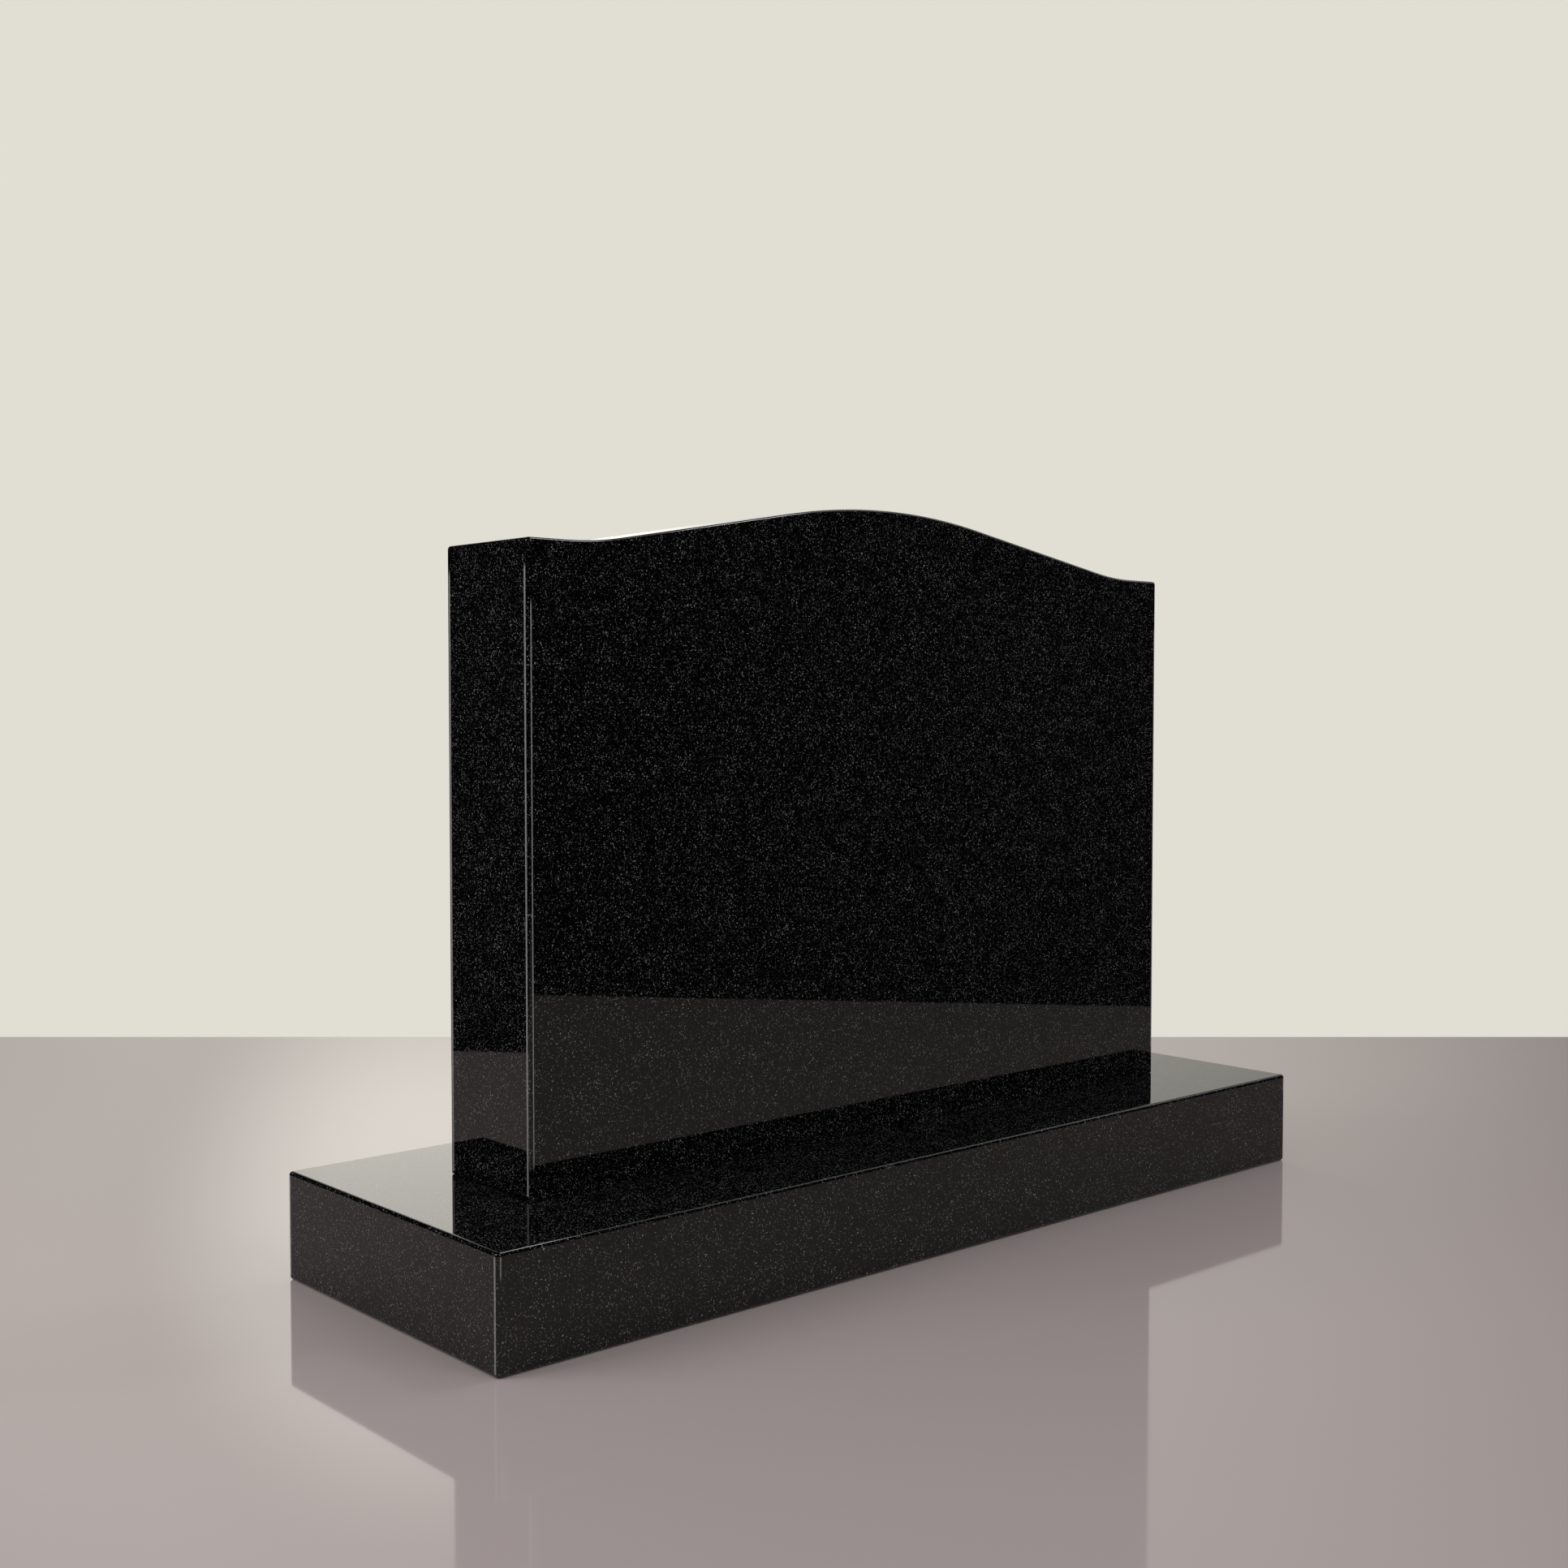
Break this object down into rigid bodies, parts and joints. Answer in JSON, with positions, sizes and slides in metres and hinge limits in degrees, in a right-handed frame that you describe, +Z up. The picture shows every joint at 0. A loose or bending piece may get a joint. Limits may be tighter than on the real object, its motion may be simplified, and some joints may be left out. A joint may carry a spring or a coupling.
{
  "type": "headstone",
  "caption": "Upright headstone of polished black granite with an ogee top, standing on a rectangular base slab.",
  "frame": {"origin": "on the ground, under the middle of the base slab's underside", "axes": "+Z up, +X along the width to the right as seen from the front, -Y out of the front face"},
  "size_m": [1.052, 0.341, 0.7053],
  "materials": {
    "headstone_granite": "polished, fine-grained black granite with short pale grey laths of feldspar",
    "base_granite": "polished, fine-grained black granite with short pale grey laths of feldspar"
  },
  "bodies": {
    "root": {"headstone": "headstone_granite", "base": "base_granite"}
  },
  "joints": []
}
